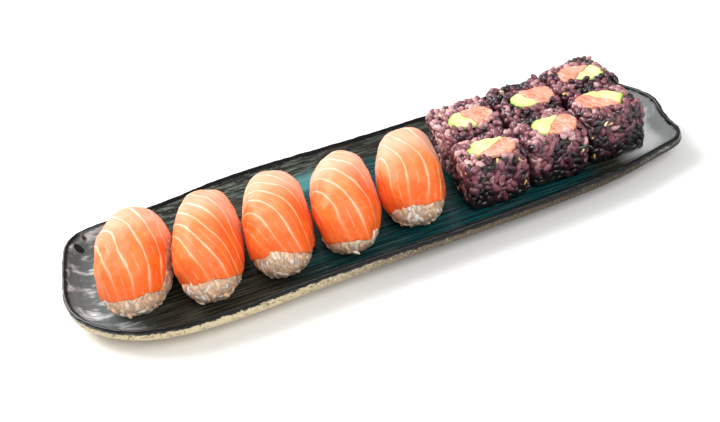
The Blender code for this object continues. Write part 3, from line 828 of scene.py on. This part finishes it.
def block_spots(number, count, rng):
    """Places spread over a block's top and sides, and which way the block faces there."""
    half = np.array((BLOCK_WIDTH, BLOCKS[number][3], BLOCK_HEIGHT)) / 2 - GRAIN_INSET
    spots = rng.uniform(-1.0, 1.0, (count, 3))
    areas = np.array((half[1] * half[2], half[0] * half[2], half[0] * half[1]))
    axis = rng.choice(3, count, p=areas / areas.sum())
    each = np.arange(count)
    spots[each, axis] = np.sign(spots[each, axis])
    spots *= half
    inner = np.clip(spots, -(half - EDGE_ROUNDING), half - EDGE_ROUNDING)
    facing = spots - inner
    facing /= np.linalg.norm(facing, axis=1, keepdims=True)
    centres = inner + facing * EDGE_ROUNDING
    lump = 1.5 * bumps(centres, 8.0, 30.0 + number)
    centres += facing * np.minimum(lump, 0.5)[:, None]
    centres[:, 2] += BLOCK_HEIGHT / 2
    on_top = facing[:, 2] > FACING_UP
    centres[:, 2] += 0.9 * on_top * (1 - ease(beyond_filling(number, centres), 1.05, 1.25))
    ragged = 1.05 + 0.12 * bumps(centres, 3.0, 35.0 + number)
    shown = (facing[:, 2] > -0.5) & ~(on_top & (beyond_filling(number, centres) < ragged))
    return centres[shown], facing[shown]


def block_grains(number, rng):
    """Grains over a block's top and sides, whole on the sides and cut short on the top."""
    centres, facing = block_spots(number, GRAIN_TRIES, rng)
    centres -= facing * rng.uniform(0.0, 0.8, len(centres))[:, None]
    kept = keep_apart(centres, COOKED_SPACING)
    centres, facing = centres[kept], facing[kept]
    on_top = facing[:, 2] > FACING_UP
    count = len(kept)

    lie = rng.normal(0.0, 1.0, (count, 3)) + np.where(on_top[:, None], 0.0, [0.0, 0.0, 0.5])
    lie -= facing * (lie * facing).sum(axis=1)[:, None] * np.where(on_top, 0.35, 0.85)[:, None]
    sizes = np.array(COOKED_GRAIN) * rng.uniform(0.80, 1.15, (count, 3))
    sizes[:, 0] *= np.where(on_top, rng.uniform(0.60, 0.95, count), 1.0)

    left, right, near, far, top = BLOCK_PAINTED_LIGHT[number]
    shade = 0.46 + rng.normal(0.0, 0.21, count) + 0.60 * bumps(centres, 9.0, 50.0 + number)
    # Painted light: paler on the sides and tops that face the light
    shade += np.maximum(0.0, -facing[:, 0]) * left + np.maximum(0.0, facing[:, 0]) * right
    shade += np.maximum(0.0, -facing[:, 1]) * near + np.maximum(0.0, facing[:, 1]) * far + on_top * top
    # Painted shade: the sides darken towards their foot
    shade -= 0.50 * (1 - ease(centres[:, 2], 1.0, 19.0)) * ~on_top
    points, faces = lay_grains(centres, lie, facing, sizes, grain_form(), rng)
    edge = np.array((BLOCK_WIDTH, BLOCKS[number][3])) / 2 + 0.1
    points[:, :2] = np.clip(points[:, :2], -edge, edge)
    return points, faces, np.repeat(shade, len(points) // count)


def make_blocks():
    finish = make_black_rice_finish()
    for number, place in enumerate(BLOCKS):
        rng = np.random.default_rng(BLOCK_DRAWS + number)
        points, faces, shades = cover_core(block_core(number), CORE_SHADE, block_grains(number, rng))
        rice = new_piece(f"black_rice_{number + 1}", set_down(points, place), faces,
                         finish, {"shade": shades})
        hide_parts(f"roll_rice_{number + 1}")


make_blocks()


# Avocado sticks: ripe avocado cut lengthwise into sticks and rolled in beside the salmon.
# The flesh is pale yellow green, and greener where it lay under the skin.

# How high the cut face stands, and how uneven it is
AVOCADO_TOP = 27.1
AVOCADO_UNEVEN = 0.25
STICK_AROUND = 80
STICK_SOFTENINGS = 3
# Rings up a stick, by how far each draws in and how high it is, then those at its cut
# face by how far they lie below it, and those across the face by their share of its width
STICK_RINGS = ((0.4, 0.3), (0.0, 0.8), (0.0, 7.0), (0.0, 14.0), (0.0, 20.0), (0.0, 24.0))
CUT_RINGS = ((0.0, 0.9), (0.2, 0.35), (0.6, 0.0))
FACE_SHARES = (0.97, 0.90, 0.75, 0.55, 0.35, 0.15)


def stick_outline(number, side):
    """One stick's part of the filling's outline, softened at its corners."""
    x, y, _, line_turn, line_offset, _ = FILLINGS[number]
    line = math.radians(line_turn)
    across = np.array((-math.sin(line), math.cos(line)))
    outline = filling_outline(number, 0.0, 3 * STICK_AROUND)
    past = ((outline - (x, y)) @ across - line_offset) * side - 0.15
    kept = []
    after = np.roll(outline, -1, axis=0)
    for start, end, here, there in zip(outline, after, past, np.roll(past, -1)):
        if here >= 0:
            kept.append(start)
        if here * there < 0:
            kept.append(start + (end - start) * here / (here - there))
    points = even_steps(np.array(kept), STICK_AROUND)
    for _ in range(STICK_SOFTENINGS):
        points = (np.roll(points, 1, axis=0) + 2 * points + np.roll(points, -1, axis=0)) / 4
    return points


def make_stick(number, name, side, top, uneven, finish, replaced):
    """One stick through the block, level with its cut top, with an uneven cut face."""
    outline = stick_outline(number, side)
    middle = outline.mean(axis=0)
    outward = outline - middle
    rings = []
    for draw, height in STICK_RINGS + tuple((draw, top - below) for draw, below in CUT_RINGS):
        spot = np.column_stack([outline, np.full(STICK_AROUND, height)])
        drawn = middle + outward * (1 - draw / 8)
        for axis, seed in ((0, 70.0 + number), (1, 75.0 + number)):
            drawn[:, axis] += 1.3 * bumps(spot, 5.0, seed) + 0.3 * bumps(spot, 2.2, seed + 2.0)
        rings.append(np.column_stack([drawn, spot[:, 2]]))
    rim = rings[-1]
    for share in FACE_SHARES:
        rings.append(np.column_stack([middle + (rim[:, :2] - middle) * share, rim[:, 2]]))
    points = np.concatenate(rings + [[[*middle, top]]])
    face = np.arange(len(points)) >= (len(STICK_RINGS) + 1) * STICK_AROUND
    flaky = bumps(points, 6.0, 80.0 + number + side) + 0.5 * bumps(points, 2.0, 85.0 + number)
    points[:, 2] += face * uneven * flaky
    faces = bridge(len(rings), STICK_AROUND)
    faces.append(list(range(STICK_AROUND))[::-1])
    last, tip = (len(rings) - 1) * STICK_AROUND, len(points) - 1
    for index in range(STICK_AROUND):
        faces.append([last + index, last + (index + 1) % STICK_AROUND, tip])
    x, y, turn = FILLINGS[number][:3]
    far_end = np.array((math.cos(math.radians(turn)), math.sin(math.radians(turn))))
    away = (middle - (x, y)) @ far_end
    rind = (beyond_filling(number, points) - 0.62) * 2.4
    rind *= ease((points[:, :2] - (x, y)) @ far_end * np.sign(away), 1.5, 9.0)
    piece = new_piece(f"{name}_{number + 1}", set_down(points, BLOCKS[number]), faces, finish,
                      {"rind": rind})
    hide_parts(f"{replaced}_{number + 1}")


def make_avocado_finish():
    finish, place = new_finish("avocado", {
        "Subsurface Weight": 0.2, "Subsurface Radius": (1.6, 1.8, 0.6), "Subsurface Scale": MM,
        "Coat Weight": 0.2, "Coat Roughness": 0.25})
    cloud = place.grain(5.0, 3.0)
    smear = place.grain((1.0, 3.0, 1.0), 3.0, 0.6)
    speck = place.grain(0.8, 1.0)
    rind = place.mark("rind") + (cloud - 0.5) * 0.6
    flesh = cloud.rise(0.35, 0.68).tint("eeeeb2", "dde190")
    flesh = rind.rise(0.25, 0.95).tint(flesh, "a6c954")
    flesh = (speck.rise(0.66, 0.72) * cloud.rise(0.5, 0.6) * 0.7).tint(flesh, "7d6a35")
    feed(finish, {"Base Color": flesh, "Roughness": 0.38 + 0.2 * smear,
                  "Normal": (smear + cloud).relief(0.22)})
    return finish


def make_avocado_sticks():
    finish = make_avocado_finish()
    for number, filling in enumerate(FILLINGS):
        make_stick(number, "avocado_stick", filling[5], AVOCADO_TOP, AVOCADO_UNEVEN, finish,
                   "roll_avocado")


make_avocado_sticks()


# Salmon sticks: raw salmon cut into sticks beside the avocado. Their cut ends show the
# flakes of the fish, coral with thin pale lines of fat, and stand a little above the rice.

SALMON_TOP = 27.4
SALMON_UNEVEN = 0.45
FLAKE_SPACING = 4.2


def make_salmon_stick_finish():
    finish, place = new_finish("salmon_stick", {
        "Subsurface Weight": 0.25, "Subsurface Radius": (2.2, 0.9, 0.6), "Subsurface Scale": MM,
        "Coat Weight": 0.35, "Coat Roughness": 0.2})
    wander = place.grain(6.0, 3.0)
    fibre = place.grain((3.0, 0.8, 2.0), 3.0, 0.6)
    across = place.node("ShaderNodeVectorMath", {"operation": "DOT_PRODUCT"},
                        {0: place, 1: (0.85 / MM, 0.53 / MM, 0.1 / MM)}, give="Value")
    flake = across / FLAKE_SPACING + wander * 3.6
    line = 1 - abs(flake.fraction() - 0.5).rise(0.03, 0.16)
    coral = wander.rise(0.36, 0.64).tint("e67a58", "f3a488")
    coral = (fibre.rise(0.42, 0.66) * 0.6).tint(coral, "f7bea6")
    coral = (line * 0.55).tint(coral, "fcdccb")
    feed(finish, {"Base Color": coral, "Roughness": 0.34 + 0.16 * fibre,
                  "Normal": (fibre + wander + line * 0.5).relief(0.3)})
    return finish


def make_salmon_sticks():
    finish = make_salmon_stick_finish()
    for number, filling in enumerate(FILLINGS):
        make_stick(number, "salmon_stick", -filling[5], SALMON_TOP, SALMON_UNEVEN, finish,
                   "roll_salmon")


make_salmon_sticks()


# Sesame seeds: toasted seeds that cling to the sticky rice, a few on the top and the sides
# of each block. They lie flat on the grains, blunt at one end and pointed at the other.

SEED_SIZE = (2.9, 1.9, 1.1)
SEEDS_ON_EACH = 7
SEED_TRIES = 60
SEED_LIFT = 0.9
SESAME_DRAWS = 90


def make_sesame_finish():
    finish, place = new_finish("sesame", {"Coat Weight": 0.15, "Roughness": 0.5})
    toast = place.mark("shade") + (place.grain(1.2) - 0.5) * 0.7
    feed(finish, {"Base Color": toast.rise(0.1, 0.9).tint("d9a968", "f5e3b8"),
                  "Normal": place.grain((0.4, 0.9, 0.4), 1.0).relief(0.08)})
    return finish


def make_sesame_seeds():
    body, body_faces = grain_form()
    body[:, 1] -= GRAIN_BEND * (1 - body[:, 0] ** 2)
    body[:, 1:] *= 0.62 + 0.38 * body[:, :1]
    points, faces, shades = [], [], []
    for number, place in enumerate(BLOCKS):
        rng = np.random.default_rng(SESAME_DRAWS + number)
        centres, facing = block_spots(number, SEED_TRIES, rng)
        centres, facing = centres[:SEEDS_ON_EACH], facing[:SEEDS_ON_EACH]
        centres += facing * SEED_LIFT
        lie = rng.normal(0.0, 1.0, centres.shape)
        lie -= facing * (lie * facing).sum(axis=1)[:, None]
        sizes = np.array(SEED_SIZE) * rng.uniform(0.88, 1.1, centres.shape)
        seeds, seed_faces = lay_grains(centres, lie, facing, sizes, (body, body_faces), rng)
        start = sum(len(group) for group in points)
        faces += [[corner + start for corner in face] for face in seed_faces]
        points.append(set_down(seeds, place))
        shades.append(np.repeat(rng.uniform(0.0, 1.0, len(centres)), len(body)))
    new_piece("sesame_seeds", np.vstack(points), faces, make_sesame_finish(),
              {"shade": np.concatenate(shades)})


make_sesame_seeds()


# Studio: a plain pale paper floor, an even pale world, three large soft lamps that face
# the plate, and the camera at the photograph's angle, above the plate and to its left.

FLOOR_REACH = 3.0
WORLD_LIGHT = 0.43
# Degrees up, to the left and rolled, metres away, and the focus in pixels of the picture
CAMERA_RISE = 36.0
CAMERA_SIDE = 11.0
CAMERA_ROLL = -11.5
CAMERA_AWAY = 0.600
CAMERA_AIM = Vector((-0.00569, 0.00882, 0.0))
CAMERA_FOCUS = 1200.0
PICTURE_WIDTH = 720.0


def make_floor():
    mesh = bpy.data.meshes.new("studio_floor")
    corners = [(x * FLOOR_REACH, y * FLOOR_REACH, 0.0) for x, y in ((-1, -1), (1, -1), (1, 1), (-1, 1))]
    mesh.from_pydata(corners, [], [(0, 1, 2, 3)])
    floor = bpy.data.objects.new("studio_floor", mesh)
    bpy.context.scene.collection.objects.link(floor)
    finish, place = new_finish("studio_paper", {"Roughness": 0.9})
    feed(finish, {"Base Color": place.grain(40.0).tint("f6f6f5", "fafaf9")})
    mesh.materials.append(finish)


def add_lamp(name, place, size, power):
    """A large soft lamp that faces the middle of the plate."""
    lamp = bpy.data.lights.new(name, "AREA")
    lamp.shape = "RECTANGLE"
    lamp.size, lamp.size_y = size
    lamp.energy = power
    stand = bpy.data.objects.new(name, lamp)
    stand.location = place
    towards = Vector((0.0, 0.0, 0.02)) - Vector(place)
    stand.rotation_euler = towards.to_track_quat("-Z", "Y").to_euler()
    bpy.context.scene.collection.objects.link(stand)


def add_camera():
    """The camera, turned so that it looks along minus back with up upwards."""
    rise, side, roll = (math.radians(angle) for angle in (CAMERA_RISE, CAMERA_SIDE, CAMERA_ROLL))
    back = Vector((-math.sin(side) * math.cos(rise), -math.cos(side) * math.cos(rise), math.sin(rise)))
    level = (-back).cross(Vector((0.0, 0.0, 1.0))).normalized()
    upright = level.cross(-back)
    right = math.cos(roll) * level + math.sin(roll) * upright
    up = -math.sin(roll) * level + math.cos(roll) * upright
    lens = bpy.data.cameras.new("camera")
    lens.lens = CAMERA_FOCUS / PICTURE_WIDTH * lens.sensor_width
    camera = bpy.data.objects.new("camera", lens)
    axes = camera.matrix_world.to_3x3()
    for row in range(3):
        axes[row] = (right[row], up[row], back[row])
    camera.matrix_world = axes.to_4x4()
    camera.location = CAMERA_AIM + back * CAMERA_AWAY
    bpy.context.scene.collection.objects.link(camera)
    bpy.context.scene.camera = camera


def light_studio():
    world = bpy.data.worlds.new("studio")
    world.use_nodes = True
    backdrop = world.node_tree.nodes["Background"]
    backdrop.inputs["Color"].default_value = (1.0, 1.0, 1.0, 1.0)
    backdrop.inputs["Strength"].default_value = WORLD_LIGHT
    bpy.context.scene.world = world
    bpy.context.scene.view_settings.view_transform = "Standard"
    add_lamp("key_lamp", (-0.55, 0.50, 0.85), (0.8, 0.7), 13.0)
    add_lamp("fill_lamp", (0.25, -0.80, 0.80), (0.9, 0.7), 9.0)
    add_lamp("rim_lamp", (-0.50, 0.95, 0.55), (0.6, 0.4), 4.5)


make_floor()
light_studio()
add_camera()
